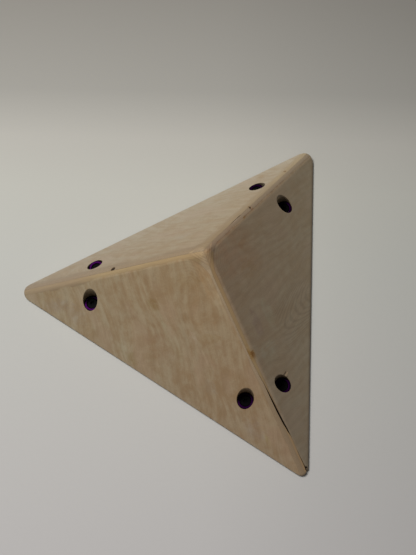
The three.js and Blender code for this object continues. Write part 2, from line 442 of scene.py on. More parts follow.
class Recipe:
    """The node tree of one material, world or light."""

    def __init__(self, tree: bpy.types.NodeTree) -> None:
        """Empties a node tree and takes it."""
        self.tree = tree
        self.tree.nodes.clear()

    def node(self, kind: str, settings: dict | None = None, inputs: dict | None = None,
             output: Any = 0) -> Wire:
        """Adds one node.

        Args:
            kind: the node's type.
            settings: its settings, which are set first; "stops" holds a ramp's places and colours.
            inputs: the values or links of its sockets, by name or number.
            output: the name or number of the socket that is handed back.

        Returns:
            That socket of the node.
        """
        made = self.tree.nodes.new(kind)
        for key, value in (settings or {}).items():
            if key == "stops":
                self._set_stops(made.color_ramp, value)
            else:
                setattr(made, key, value)
        for key, value in (inputs or {}).items():
            if isinstance(value, Wire):
                self.tree.links.new(value.socket, made.inputs[key])
            else:
                made.inputs[key].default_value = value
        return Wire(self, made.outputs[output]) if len(made.outputs) else Wire(self, None)

    @staticmethod
    def _set_stops(ramp: Any, stops: Sequence[tuple[float, Colour]]) -> None:
        """Sets a ramp's stops.

        Args:
            ramp: the node's ramp.
            stops: the place and colour of each stop, from the lowest to the highest.
        """
        while len(ramp.elements) > 1:
            ramp.elements.remove(ramp.elements[-1])
        for number, (place, colour) in enumerate(stops):
            stop = ramp.elements[0] if number == 0 else ramp.elements.new(place)
            stop.position = place
            stop.color = (*colour, 1.0)

    def mix(self, share: Any, first: Any, second: Any, way: str = "MIX") -> Wire:
        """Blends two colours.

        Args:
            share: how much of the second colour there is, from 0 to 1.
            first: the first colour.
            second: the second colour.
            way: the blend type.

        Returns:
            The blended colour.
        """
        first, second = (c if isinstance(c, Wire) else (*c, 1.0) for c in (first, second))
        settings = {"data_type": "RGBA", "blend_type": way}
        return self.node("ShaderNodeMix", settings, {0: share, 6: first, 7: second}, output=2)

    def tint(self, colour: Wire | Colour, brightness: Wire) -> Wire:
        """Multiplies a colour by one number."""
        return self.node(
            "ShaderNodeVectorMath", {"operation": "SCALE"}, {0: colour, "Scale": brightness}
        )

    def vector(self, x: Any, y: Any, z: Any) -> Wire:
        """Joins three numbers to a vector."""
        return self.node("ShaderNodeCombineXYZ", {}, {0: x, 1: y, 2: z})

    def noise(self, place: Wire, scale: float, detail: float = 2.0, roughness: float = 0.5,
              distortion: float = 0.0) -> Wire:
        """Smooth noise round 0.5.

        Args:
            place: where it is read.
            scale: how fine it is.
            detail: how many finer layers it has.
            roughness: how strong those layers are.
            distortion: how much it is warped.

        Returns:
            The noise value.
        """
        values = {"Vector": place, "Scale": scale, "Detail": detail, "Roughness": roughness,
                  "Distortion": distortion}
        return self.node("ShaderNodeTexNoise", {"noise_dimensions": "3D"}, values)


class Finish:
    """What every finish shares: a name and one material that is made when it is first asked for."""

    name: str

    def material(self) -> bpy.types.Material:
        """The finish's material, made once.

        Returns:
            The material.
        """
        made = bpy.data.materials.get(self.name)
        if made is None:
            made = bpy.data.materials.new(self.name)
            made.use_nodes = True
            self.mix_it(Recipe(made.node_tree))
        return made

    def mix_it(self, recipe: Recipe) -> None:
        """Fills the material's node tree."""
        raise NotImplementedError

    @staticmethod
    def surface(recipe: Recipe, values: dict) -> None:
        """Ends a recipe with one plain shader.

        Args:
            recipe: the recipe.
            values: the shader's values and links.
        """
        shader = recipe.node("ShaderNodeBsdfPrincipled", {}, values)
        recipe.node("ShaderNodeOutputMaterial", {}, {"Surface": shader})


@dataclass(frozen=True)
class Spot:
    """A spot on a board, in millimetres: down its first ridge, down its grain, and into its depth."""

    first: Wire
    grain: Wire
    depth: Wire

    @property
    def nearer(self) -> Wire:
        """The lesser of the first two, which is how far off the nearer ridge lies."""
        return self.first.least(self.grain)

    @property
    def farther(self) -> Wire:
        """The greater of the first two, which is small at the tip alone."""
        return self.first.most(self.grain)

    def noise(self, scales: Point, detail: float, roughness: float = 0.5, distortion: float = 0.0,
              shift: Point = (0.0, 0.0, 0.0)) -> Wire:
        """Smooth noise round 0.5, drawn out along the ways of the board.

        Args:
            scales: how fine it is along each of the three ways.
            detail: how many finer layers it has.
            roughness: how strong those layers are.
            distortion: how much it is warped.
            shift: what is added to the three scaled places.

        Returns:
            The noise value.
        """
        ways = (self.first, self.grain, self.depth)
        places = [way * scale + move for way, scale, move in zip(ways, scales, shift)]
        recipe = self.first.recipe
        return recipe.noise(recipe.vector(*places), 1.0, detail, roughness, distortion)


@dataclass(frozen=True)
class Patch:
    """A soft-edged mark on a board, by where it lies down the board's two ridges: a stain or a change of
    tone, or a spot of painted shade or painted highlight.
    """

    down_first: float
    down_grain: float
    half_width: float
    half_length: float
    strength: float
    tint: Colour

    def mask(self, spot: Spot, warp: Wire) -> Wire:
        """A soft and uneven oval, 1 in its middle.

        Args:
            spot: the spot on the board.
            warp: noise round 0.5 that makes its outline uneven.

        Returns:
            How much of the mark shows, before its strength.
        """
        side = (spot.first - self.down_first) / self.half_width + (warp - 0.5) * 2.2
        end = (spot.grain - self.down_grain) / self.half_length + (warp - 0.5) * 1.4
        return (side * side + end * end).rise(1.3, 0.1)


@dataclass(frozen=True)
class Worn:
    """Where the sander went deeper into the plies beside a ridge.

    The extra depth grows between two places down the ridge, and fades out away from the ridge.
    """

    depth: float
    reach: float = 10.0
    start: float = 0.0
    full: float = 0.0

    def wear(self, along: Wire, away: Wire) -> Wire:
        """The extra depth, from the places along the ridge and away from it."""
        depth = away.rise(self.reach * 1.6, self.reach * 0.6) * self.depth
        return depth * along.rise(self.start, self.full) if self.full else depth


@dataclass(frozen=True)
class Arch:
    """Arched rings, whose middle line lies so far down the first ridge."""

    strength: float
    middle: float = 115.0
    start: float = 58.0
    spread: float = 6.4
    spacing: float = 13.0
    sway: float = 16.0
    sides: tuple[float, float] = (34.0, 16.0)
    near_end: tuple[float, float] = (50.0, 66.0)
    far_end: tuple[float, float] = (150.0, 120.0)

    def shade(self, spot: Spot, broad: Wire) -> Wire:
        """How much darker the rings make a spot.

        Args:
            spot: the spot on the board.
            broad: the noise that makes the rings sway.

        Returns:
            What is taken from the brightness.
        """
        side = spot.first - self.middle
        place = spot.grain - self.start + broad * self.sway - side * side / self.spread
        here = abs(side).rise(*self.sides) * spot.grain.rise(*self.near_end)
        here = here * spot.grain.rise(*self.far_end)
        return (place * (math.tau / self.spacing)).sine().rise(-0.2, 1.0) * here * self.strength


@dataclass(frozen=True)
class PlywoodFinish(Finish):
    """Birch plywood with its face veneer, its plies and their glue lines, and painted shade in its bores,
    joints and pits and along its foot.

    The grain of a board's faces runs down its second ridge, so the first ridge cuts across it.
    """

    name: str
    first: Ridge
    grain: Ridge
    into: Ridge
    veneer: Colour
    down_first: Colour
    down_grain: Colour
    slant: float
    mottle: float
    rings: float
    seed: float
    strip_first: tuple[Colour, Colour]
    strip_grain: tuple[Colour, Colour]
    worn_first: tuple[Worn, ...] = ()
    worn_grain: tuple[Worn, ...] = ()
    patches: tuple[Patch, ...] = ()
    arch: Arch | None = None
    face_ply: float = 0.5
    core_ply: float = 2.3
    edge: float = 0.12
    line: float = 0.4
    # How much painted contact shadow darkens the board near the wall, and over what heights.
    foot: float = 0.0
    foot_shade_reach: tuple[float, float] = (7.0, 1.5)
    # How much painted shade darkens the walls of the bores.
    bore_shade: float = 0.42
    sway: float = 34.0
    round_over: float = 7.5
    turn: float = 26.0
    tip_reach: tuple[float, float] = (17.0, 12.0)
    tip_share: float = 0.4
    strip_reach: tuple[float, float] = (19.0, 16.0)
    strip_depth: tuple[float, float] = (3.4, 2.8)
    strip_change: tuple[float, float] = (115.0, 170.0)
    glue_line: float = 0.16
    thickness: float = 18.0
    brown: Colour = (0.93, 0.83, 0.72)
    grey: Colour = (1.03, 1.05, 1.06)
    pink: Colour = (1.04, 0.97, 0.98)
    long_grain: Colour = (1.05, 0.97, 0.84)
    end_grain: Colour = (0.85, 0.79, 0.76)
    tip_ply: Colour = (1.06, 1.02, 0.97)
    glue: Colour = (0.44, 0.33, 0.3)
    # Nearly black: painted shade in the open joints and the pits.
    joint_and_pit_shade: Colour = (0.04, 0.03, 0.03)

    def mix_it(self, recipe: Recipe) -> None:
        """Fills the plywood's node tree.

        Args:
            recipe: the material's recipe.
        """
        place = recipe.node("ShaderNodeTexCoord", output="Object")
        normal = recipe.node("ShaderNodeTexCoord", output="Normal")
        from_tip = recipe.node(
            "ShaderNodeVectorMath", {"operation": "SUBTRACT"}, {0: place, 1: FORM.tip * MM}
        )
        ways = (self.first, self.grain, self.into)
        spot = Spot(*(from_tip.dot(ridge.way / MM) for ridge in ways))
        off_wall = place.dot((0.0, 0.0, 1.0 / MM))
        slow = spot.noise((0.02, 0.009, 0.02), 1.0, shift=(self.seed, 0.0, 0.0))
        across = spot.first - spot.grain * self.slant + (slow - 0.5) * self.sway
        colour = self.plies(recipe, self.face(recipe, across, spot), spot, normal)
        # Painted shade: the wood below the face, away from the ridges and off the wall, which is the
        # walls of the bores, is darkened as the shade deep in them, with a little scorch from the bit.
        shaded_bore_wall = spot.nearer.rise(16.0, 19.0) * spot.depth.rise(0.6, 2.5) * off_wall.rise(9.0, 14.0)
        colour = recipe.tint(colour, 1.0 - shaded_bore_wall * self.bore_shade)
        colour = recipe.mix(1.0, colour, self.tone(recipe, spot), "MULTIPLY")
        # Painted shade: the board is darkened near the wall, where the contact shadow falls along its
        # foot.
        if self.foot:
            colour = recipe.tint(colour, 1.0 - off_wall.rise(*self.foot_shade_reach) * self.foot)
        fibre = Spot(across, spot.grain, spot.depth).noise((2.2, 0.05, 2.2), 3.0, 0.6)
        height = recipe.node(
            "ShaderNodeBump", {}, {"Strength": 0.25, "Distance": 0.06 * MM, "Height": fibre}
        )
        self.surface(recipe, {
            "Base Color": colour,
            "Roughness": 0.56 + fibre * 0.16,
            "Normal": height,
            "Specular IOR Level": 0.35,
        })

    def tone(self, recipe: Recipe, spot: Spot) -> Wire:
        """The board's overall colour, which changes evenly down its two ridges.

        Args:
            recipe: the recipe.
            spot: the spot on the board.

        Returns:
            The colour.
        """
        first = recipe.tint(self.down_first, spot.first / 100.0)
        grain = recipe.tint(self.down_grain, spot.grain / 100.0)
        return recipe.mix(1.0, self.veneer, recipe.mix(1.0, first, grain, "ADD"), "ADD")

    def face(self, recipe: Recipe, across: Wire, spot: Spot) -> Wire:
        """The colour of the face veneer.

        Args:
            recipe: the recipe.
            across: the place across the grain in millimetres, bent with the grain.
            spot: the spot on the board.

        Returns:
            The colour.
        """
        veneer = Spot(across + self.seed * 37.0, spot.grain, spot.depth)
        broad = veneer.noise((0.055, 0.018, 0.05), 3.0, 0.55, 0.4)
        streak = veneer.noise((0.22, 0.02, 0.1), 3.0, 0.6)
        fine = veneer.noise((1.6, 0.045, 0.6), 3.0, 0.65)
        fleck = veneer.noise((1.1, 0.16, 1.0), 2.0, 0.6)
        warm = veneer.noise((0.04, 0.022, 0.05), 2.0, shift=(0.0, 0.0, 9.0))
        blotch = veneer.noise((0.11, 0.07, 0.1), 4.0, 0.65)
        speck = veneer.noise((1.0, 0.6, 1.0), 2.0, 0.7)
        ring = (veneer.first * 0.75 + broad * 14.0 + streak * 3.0).sine() * 0.5 + 0.5
        browned = (broad * 0.3 + streak * 0.25 + blotch * 0.45).rise(0.6, 0.4)
        colour = recipe.mix(browned, self.grey, self.brown)
        colour = recipe.mix(warm.rise(0.5, 0.68) * 0.7, colour, self.pink)
        colour = recipe.mix(self.mottle, (1.0, 1.0, 1.0), colour)
        bright = (
            1.0
            + (streak - 0.5) * (0.2 * self.mottle)
            + (blotch - 0.5) * (0.2 * self.mottle)
            + (fine - 0.5) * 0.26
            + (speck - 0.5) * 0.26
            - ring * (0.05 * self.rings)
            - fleck.rise(0.66, 0.8) * 0.1
        )
        turned = self.beside(spot)
        near_tip = spot.farther.rise(38.0, 22.0) * turned.rise(4.0, 6.0)
        bright = bright + (turned * 2.1 + streak * 4.0).sine() * near_tip * 0.035
        if self.arch:
            bright = bright - self.arch.shade(spot, broad)
        return recipe.tint(colour, bright)

    def plies(self, recipe: Recipe, veneer: Wire, spot: Spot, normal: Wire) -> Wire:
        """The colour of whichever ply the surface cuts, with the glue lines between them.

        Args:
            recipe: the recipe.
            veneer: the colour of the face veneer.
            spot: the spot on the board.
            normal: the surface's direction.

        Returns:
            The colour.
        """
        wobble = spot.noise((0.045, 0.045, 0.1), 3.0, shift=(self.seed, 0.0, 0.0))
        sunk = (self.round_over - self.beside(spot)).most(0.0)
        level = spot.depth.most(sunk * sunk / (2 * self.round_over))
        level = level + (wobble - 0.5) * 0.8 * spot.nearer.rise(20.0, 10.0)
        for worn in self.worn_first:
            level = level + worn.wear(spot.first, spot.grain)
        for worn in self.worn_grain:
            level = level + worn.wear(spot.grain, spot.first)
        mirrored = level.least(self.thickness - level)
        core = (mirrored - self.face_ply) / self.core_ply
        crossed = (core.floor() % 2.0).rise(0.75, 0.25)
        inside = mirrored.rise(self.face_ply - self.edge, self.face_ply + self.edge)
        end_on_cross = abs(normal.dot(self.first.way)).rise(0.15, 0.45)
        end_on_grain = abs(normal.dot(self.grain.way)).rise(0.15, 0.45)
        end_on = crossed * end_on_cross + (1.0 - crossed) * end_on_grain
        pores = spot.noise((1.3, 1.3, 1.6), 3.0, 0.7)
        deeper = (0.0, 0.0, self.seed)
        strands_first = spot.noise((0.06, 1.1, 1.6), 3.0, 0.6, shift=deeper)
        strands_grain = spot.noise((1.1, 0.06, 1.6), 3.0, 0.6, shift=deeper)
        strands = strands_first * crossed + strands_grain * (1.0 - crossed)
        at_tip = spot.farther.rise(*self.tip_reach)
        strip = self.strip(recipe, spot)
        ply = recipe.mix(end_on, self.long_grain, self.end_grain)
        ply = recipe.mix(at_tip, ply, recipe.mix(self.tip_share, strip, self.tip_ply))
        outer = mirrored.rise(*self.strip_depth) * spot.nearer.rise(*self.strip_reach)
        ply = recipe.mix(outer, ply, strip)
        ply = recipe.tint(ply, 1.0 + (strands - 0.5) * 0.4 + (pores - 0.5) * end_on * 0.35)
        colour = recipe.mix(inside, veneer, ply)
        line = abs(((core + 0.5) % 1.0) - 0.5) * self.core_ply
        seen = line.rise(self.glue_line, self.glue_line * 0.3) * wobble.rise(0.35, 0.55)
        seen = (seen * self.line).most(line.rise(0.5, 0.1) * at_tip * 0.3)
        seen = seen * mirrored.rise(self.face_ply - 0.4, self.face_ply - 0.2)
        colour = self.marks_and_painted_light(recipe, recipe.mix(seen, colour, self.glue), spot, pores)
        # Painted shade: the open joints and the pits are painted nearly black, as the shade deep in them,
        # with some dark glue in the joints.
        hollow = self.hollow(spot.depth, spot.grain, spot.first)
        hollow = hollow.least(self.hollow(spot.depth, spot.first, spot.grain))
        return recipe.mix(hollow.rise(7.0, 6.5) * 0.92, colour, self.joint_and_pit_shade)

    def strip(self, recipe: Recipe, spot: Spot) -> Wire:
        """The colour of the sanded strip beside the nearer ridge, which changes down the ridge.

        Args:
            recipe: the recipe.
            spot: the spot on the board.

        Returns:
            The colour.
        """
        first = recipe.mix(spot.first.rise(*self.strip_change), *self.strip_first)
        grain = recipe.mix(spot.grain.rise(*self.strip_change), *self.strip_grain)
        return recipe.mix((spot.first - spot.grain).rise(-6.0, 0.0), grain, first)

    def marks_and_painted_light(self, recipe: Recipe, colour: Wire, spot: Spot, pores: Wire) -> Wire:
        """The colour with the board's marks on it: stains, changes of tone, and spots of painted shade
        and painted highlight.

        Args:
            recipe: the recipe.
            colour: the colour without them.
            spot: the spot on the board.
            pores: the fine noise that breaks them up.

        Returns:
            The colour.
        """
        warp = spot.noise((0.16, 0.1, 0.1), 4.0, 0.65, shift=(0.0, 0.0, 3.0))
        uneven = 0.45 + warp.rise(0.4, 0.6)
        broken = 0.55 + pores * 0.9
        for patch in self.patches:
            mask = patch.mask(spot, warp) * patch.strength * uneven * broken
            colour = recipe.mix(mask, colour, recipe.mix(1.0, colour, patch.tint, "MULTIPLY"))
        return colour

    def beside(self, spot: Spot) -> Wire:
        """How far the face lies in from its two ridges, by lines that turn softly round the tip.

        Args:
            spot: the spot on the board.

        Returns:
            The distance in millimetres.
        """
        first, grain = (self.turn - spot.first).most(0.0), (self.turn - spot.grain).most(0.0)
        return self.turn - (first * first + grain * grain).root()

    def hollow(self, depth: Wire, away: Wire, along: Wire) -> Wire:
        """The distance from the axis of a ridge's round, which is less than its radius in a joint.

        Args:
            depth: the depth below the board's outer face in millimetres.
            away: the place away from the ridge in millimetres.
            along: the place down the ridge in millimetres; the two ends of the ridge don't count.

        Returns:
            The distance in millimetres.
        """
        down, side = self.round_over - depth, self.round_over - away
        ends = 1.0 - along.rise(8.0, 11.0) * along.rise(229.0, 225.0)
        return (down * down + side * side).root() + ends * 9.0


@dataclass(frozen=True)
class MetalFinish(Finish):
    """Metal whose brightness and roughness vary faintly with one fine noise.

    Brightness and roughness are each given as a lowest value and what the noise adds.
    """

    name: str
    colour: Colour
    fineness: float
    layers: float
    brightness: tuple[float, float]
    roughness: tuple[float, float]
    metallic: float = 1.0
    specular: float = 0.5

    def mix_it(self, recipe: Recipe) -> None:
        """Fills the metal's node tree.

        Args:
            recipe: the material's recipe.
        """
        spot = recipe.node("ShaderNodeTexCoord", output="Object")
        haze = recipe.noise(spot, self.fineness, self.layers)
        darkest, brighter = self.brightness
        smoothest, rougher = self.roughness
        self.surface(recipe, {
            "Base Color": recipe.tint(self.colour, darkest + haze * brighter),
            "Metallic": self.metallic,
            "Roughness": smoothest + haze * rougher,
            "Specular IOR Level": self.specular,
        })


# The washers' base colour lies far below anodised purple: their own dark purple, with the painted shade
# of the deep bores they sit in.
ANODISED_IN_PAINTED_SHADE = MetalFinish(
    "purple_anodised", (0.0085, 0.0007, 0.013), 900.0, 2.0, (0.8, 0.4), (0.3, 0.14)
)
BLACKENED = MetalFinish(
    "black_coated_steel", (0.0016, 0.0015, 0.0016), 1400.0, 3.0, (0.7, 0.6), (0.4, 0.16),
    metallic=0.0, specular=0.02,
)
WIRE = MetalFinish("bright_wire", (0.5, 0.5, 0.49), 1800.0, 2.0, (0.75, 0.5), (0.28, 0.2))


@dataclass(frozen=True)
class WallFinish(Finish):
    """Smooth painted wall whose colour holds painted light: darker to the right, away from the lamp, and
    darker upwards into painted shade at the top.

    It is clear from behind, and open behind the volume's hollow, which shows from there.
    """

    name: str = "painted_wall"
    # The ramps paint light falloff and shade into the colour: up darkens it upwards, into painted shade
    # at the top, and along darkens it to the right, away from the lamp.
    up: tuple[tuple[float, Colour], ...] = (
        (-0.25, (0.56, 0.545, 0.545)), (0.04, (0.522, 0.524, 0.495)), (0.12, (0.513, 0.51, 0.472)),
        (0.18, (0.478, 0.466, 0.432)), (0.24, (0.361, 0.351, 0.326)), (0.36, (0.289, 0.276, 0.254)),
    )
    along: tuple[tuple[float, float], ...] = (
        (-0.26, 1.0), (0.0, 1.0), (0.12, 0.94), (0.24, 0.885),
    )
    brightness: float = 1.04
    opening: float = 12.0

    def mix_it(self, recipe: Recipe) -> None:
        """Fills the wall's node tree.

        Args:
            recipe: the material's recipe.
        """
        spot = recipe.node("ShaderNodeTexCoord", output="Object")
        up = recipe.node(
            "ShaderNodeValToRGB", {"stops": [(y + 0.4, colour) for y, colour in self.up]},
            {0: spot.dot((0.0, 1.0, 0.0)) + 0.4},
        )
        along = recipe.node(
            "ShaderNodeValToRGB", {"stops": [(x + 0.4, (v, v, v)) for x, v in self.along]},
            {0: spot.dot((1.0, 0.0, 0.0)) + 0.4},
        )
        speckle = recipe.noise(spot, 260.0, 3.0)
        # Painted light falloff and shade: the two ramps multiplied.
        colour = recipe.mix(1.0, up, along, "MULTIPLY")
        colour = recipe.tint(colour, (0.99 + speckle * 0.02) * self.brightness)
        shader = recipe.node("ShaderNodeBsdfPrincipled", {}, {
            "Base Color": colour, "Roughness": 0.85, "Specular IOR Level": 0.2,
        })
        behind = recipe.node("ShaderNodeNewGeometry", output="Backfacing")
        left, top, bottom = (
            spot.dot(-Vector((*ridge.way.xy, 0.0)).normalized() / MM) for ridge in Ridge
        )
        inside = FORM.ridge / math.sqrt(6) - self.opening
        behind = behind.most(left.most(top).most(bottom).rise(inside, inside - 1.0))
        clear = recipe.node("ShaderNodeBsdfTransparent")
        shown = recipe.node("ShaderNodeMixShader", {}, {0: behind, 1: shader, 2: clear})
        recipe.node("ShaderNodeOutputMaterial", {}, {"Surface": shown})


# The volume


@dataclass(frozen=True)
class Seam:
    """The joint on one ridge, which the sanding has left off the ridge's middle.

    Each station gives a place down the ridge, how far the joint lies towards the first board along
    the rounded surface, and how wide it gapes there.
    """

    ridge: Ridge
    first: str
    second: str
    stations: tuple[Point, ...]

    def at(self, down: float) -> tuple[float, float]:
        """The joint's shift and gape at a place down the ridge.

        Args:
            down: the place in millimetres.

        Returns:
            The shift towards the first board and the gape.
        """
        before = self.stations[0]
        if down <= before[0]:
            return before[1], before[2]
        for after in self.stations[1:]:
            if down <= after[0]:
                share = (down - before[0]) / (after[0] - before[0])
                share = share * share * (3 - 2 * share)
                return tuple(b + (a - b) * share for b, a in zip(before[1:], after[1:]))
            before = after
        return before[1], before[2]


@dataclass(frozen=True)
class Bore:
    """A counterbore square to the wall, for one cup washer and its screw."""

    name: str
    axis: tuple[float, float]
    seat: float


@dataclass(frozen=True)
class Pinhole:
    """The hole of a sunk brad, filled over and sanded flush."""

    ridge: Ridge
    across: Ridge
    into: Ridge
    down: float


@dataclass(frozen=True)
class Pit:
    """A small hole or chip in a ridge.

    Its place is how far it lies down the ways of the left, the top and the bottom ridge, and its
    half sizes lie along one ridge, across it, and into the wood along another.
    """

    board: str
    place: Point
    half_sizes: Point
    along: Ridge
    into: Ridge


@dataclass(frozen=True)
class Board:
    """One board of the shell with its bores. Its finish names the ridges that it spans."""

    name: str
    bores: tuple[Bore, ...]
    finish: PlywoodFinish

    @property
    def into(self) -> Ridge:
        """The ridge whose way runs straight into the board's thickness."""
        return self.finish.into

    def beyond(self, ridge: Ridge) -> Ridge:
        """The other one of the two ridges that the board spans."""
        return self.finish.first if self.finish.grain is ridge else self.finish.grain

    def outward(self) -> Vector:
        """The direction that the board's outer face looks in."""
        return -self.into.way


@dataclass(frozen=True)
class Corner:
    """A corner on the wall, which the sander blunted to a round as seen from in front."""

    ridge: Ridge
    radius: float
    ease: float = 1.8
    foot: float = 2.0

    @property
    def way(self) -> Vector:
        """The direction along the wall from the middle of the back to this corner."""
        return Vector(self.ridge.way.xy).normalized()

    @property
    def sharp(self) -> float:
        """How far the sharp corner lies from the middle of the back."""
        return FORM.ridge * math.sqrt(2 / 3)

    def blunt(self, point: Vector) -> Vector:
        """Draws a point of the surface in behind the round, with a soft start and an eased foot.

        Args:
            point: the point in millimetres.

        Returns:
            Its new place.
        """
        middle = self.way * (self.sharp - 2 * self.radius)
        off = point.xy - middle
        if off.length < self.radius / 2 or off.dot(self.way) < off.length / 2:
            return point
        low = max(1 - point.z / self.foot, 0.0)
        limit = self.radius - self.foot * low * low
        over = off.length - limit
        if over < -self.ease:
            return point
        drawn = limit if over > self.ease else off.length - (over + self.ease) ** 2 / 4 / self.ease
        place = middle + off * (drawn / off.length)
        return Vector((place.x, place.y, point.z))


@dataclass
class Shell:
    """The three mitred boards, sanded to one form."""

    block: float = 278.0
    round_over: float = 7.52
    corners: tuple[Corner, ...] = (
        Corner(Ridge.LEFT, 13.85), Corner(Ridge.TOP, 15.3), Corner(Ridge.BOTTOM, 11.0),
    )
    arris: float = 4.1
    arris_profile: float = 0.42
    thickness: float = 18.0
    joint: float = 0.12
    bore: float = 16.0
    shank_hole: float = 6.0
    mouth: float = 0.35
    pinhole: float = 2.2
    brad_inset: float = 4.8
    brad_reach: float = 42.0
    filler: float = 1.2
    step: float = 4.0
    seams: tuple[Seam, ...] = (
        Seam(Ridge.LEFT, "upper_panel", "lower_panel", (
            (10, 0, 0), (36, 0.5, 0), (100, 0.5, 0), (130, 0.6, 0), (215, 0.6, 0), (240, 0.5, 0),
        )),
        Seam(Ridge.TOP, "upper_panel", "right_panel", (
            (10, 0, 0), (30, 0.8, 0), (54, 0.9, 0), (58, 0.9, 0.4), (66, 0.9, 0.25), (71, 0.9, 0.5),
            (76, 0.9, 0), (200, 0.9, 0), (236, 0.8, 0),
        )),
        Seam(Ridge.BOTTOM, "lower_panel", "right_panel", (
            (10, 0, 0), (30, 1.2, 0), (112, 1.3, 0), (126, 0.6, 0.05), (139, -0.4, 0.2),
            (150, -0.7, 0.9), (165, -1.1, 1.4), (180, -1.8, 1.5), (190, -2.7, 1.3), (199, -3.5, 0.1),
            (212, -3.3, 0.05), (221, -3.2, 0.4), (229, -3.5, 0.9), (235, -3.8, 1.7), (242, -3.9, 1.4),
        )),
    )
    pinholes: tuple[Pinhole, ...] = (
        Pinhole(Ridge.LEFT, Ridge.TOP, Ridge.BOTTOM, 110.0),
        Pinhole(Ridge.LEFT, Ridge.TOP, Ridge.BOTTOM, 200.0),
        Pinhole(Ridge.TOP, Ridge.LEFT, Ridge.BOTTOM, 95.0),
        Pinhole(Ridge.TOP, Ridge.LEFT, Ridge.BOTTOM, 182.5),
        Pinhole(Ridge.BOTTOM, Ridge.TOP, Ridge.LEFT, 90.0),
        Pinhole(Ridge.BOTTOM, Ridge.TOP, Ridge.LEFT, 195.0),
    )
    pits: tuple[Pit, ...] = (
        Pit("upper_panel", (109.3, 3.75, 0.6), (2.2, 1.9, 1.5), Ridge.LEFT, Ridge.BOTTOM),
        Pit("right_panel", (1.9, 92.5, 2.6), (1.6, 2.2, 0.9), Ridge.TOP, Ridge.BOTTOM),
        Pit("upper_panel", (2.0, 92.5, 2.2), (1.6, 1.5, 0.9), Ridge.TOP, Ridge.BOTTOM),
        Pit("lower_panel", (0.2, 6.0, 235.2), (2.0, 1.3, 2.4), Ridge.BOTTOM, Ridge.LEFT),
        Pit("right_panel", (0.2, 6.0, 235.2), (2.0, 1.3, 2.4), Ridge.BOTTOM, Ridge.LEFT),
    )
    boards: tuple[Board, ...] = ()

    def build(self) -> None:
        """Models the three boards, dresses them and ties them to the frame."""
        solid = self.solid()
        for board in self.boards:
            piece = self.board(solid, board)
            piece.hand_over(board.finish, Slot.PLYWOOD, [board.name])
        solid.scrap()

    def solid(self) -> Bench:
        """Models the whole corner of the cube as one sanded block.

        Returns:
            The block on the bench.
        """
        Bench.clear()
        turn = Matrix([ridge.value for ridge in (Ridge.LEFT, Ridge.TOP, Ridge.BOTTOM)]).transposed()
        half = self.block / 2
        bpy.ops.mesh.primitive_cube_add(
            size=self.block * MM, location=FORM.place(half, half, half) * MM, rotation=turn.to_euler()
        )
        block = Bench("cube_corner")
        block.open()
        tip = FORM.tip * MM
        block.pick(Pick.EDGE, lambda edge: any((v.co - tip).length < MM for v in edge.verts))
        bpy.ops.mesh.bevel(
            offset=self.round_over * MM, segments=25, profile=0.5, affect="EDGES", clamp_overlap=False
        )
        block.saw(Vector((0, 0, 0)), Vector((0, 0, -1)))
        block.pick(Pick.EDGE, lambda edge: all(abs(v.co.z) < 0.01 * MM for v in edge.verts))
        bpy.ops.mesh.bevel(
            offset=self.arris * MM, segments=6, profile=self.arris_profile, affect="EDGES",
            clamp_overlap=False,
        )
        for corner in self.corners:
            self.dice(block, corner)
        block.close()
        for corner in self.corners:
            block.move(corner.blunt)
        block.open()
        block.saw(Vector((0, 0, 0.06)), Vector((0, 0, -1)))
        block.close()
        return block

    @staticmethod
    def dice(block: Bench, corner: Corner) -> None:
        """Cuts the surface at a corner into small fields, so that it can be blunted.

        Args:
            block: the block on the bench, in edit mode.
            corner: the corner.
        """
        way = corner.way.to_3d()
        start = corner.sharp - 1.5 * corner.radius - corner.ease
        cuts = [(way * (start + 0.9 * number), way) for number in range(24)]
        cuts += [(Vector((0, 0, 0.5 * number)), Vector((0, 0, 1))) for number in range(1, 19)]

        def near(face: Any) -> bool:
            """True for a face that reaches into the corner."""
            return any(v.co.dot(way) > (start - 0.1) * MM for v in face.verts)

        for point, normal in cuts:
            block.pick(Pick.FACE, near)
            bpy.ops.mesh.bisect(plane_co=point * MM, plane_no=normal, use_fill=False, threshold=1e-6)

    def board(self, solid: Bench, board: Board) -> Bench:
        """Saws one board out of the block, and drills it.

        Args:
            solid: the whole block.
            board: the board's facts.

        Returns:
            The board on the bench.
        """
        piece = solid.copy(board.name + "_plywood")
        piece.open()
        inner = FORM.tip + board.into.way * self.thickness
        piece.saw(inner, board.into.way)
        for other in (board.finish.first, board.finish.grain):
            outward = (board.into.way - other.way).normalized()
            piece.saw(FORM.tip - outward * self.joint / 2, outward)
        for seam in self.seams_of(board):
            self.section(piece, board, seam)
        piece.close()
        for seam in self.seams_of(board):
            self.wander(piece, board, seam)
        for bore in board.bores:
            self.drill(piece, board, bore)
        for hole in self.pinholes:
            if any(seam.ridge is hole.ridge for seam in self.seams_of(board)):
                self.prick(piece, hole)
        for pit in self.pits:
            if pit.board == board.name:
                self.chip(piece, pit)
        piece.smooth(32.0)
        return piece

    def seams_of(self, board: Board) -> list[Seam]:
        """The joints on a board's two ridges."""
        return [seam for seam in self.seams if board.name in (seam.first, seam.second)]

    def section(self, piece: Bench, board: Board, seam: Seam) -> None:
        """Cuts the rounded strip along a ridge across, so that its joint can wander.

        Args:
            piece: the board on the bench, in edit mode.
            board: the board's facts.
            seam: the joint.
        """
        other = board.beyond(seam.ridge)
        reach = self.round_over + 0.2

        def wanted(face: Any) -> bool:
            """True for the rounded strip and the mitre of this ridge."""
            places = [v.co / MM for v in face.verts]
            depths = [(FORM.down(p, board.into), FORM.down(p, other)) for p in places]
            rounded = all(a < reach and b < reach for a, b in depths)
            mitred = all(abs(a - b) < 0.3 for a, b in depths)
            return rounded or mitred

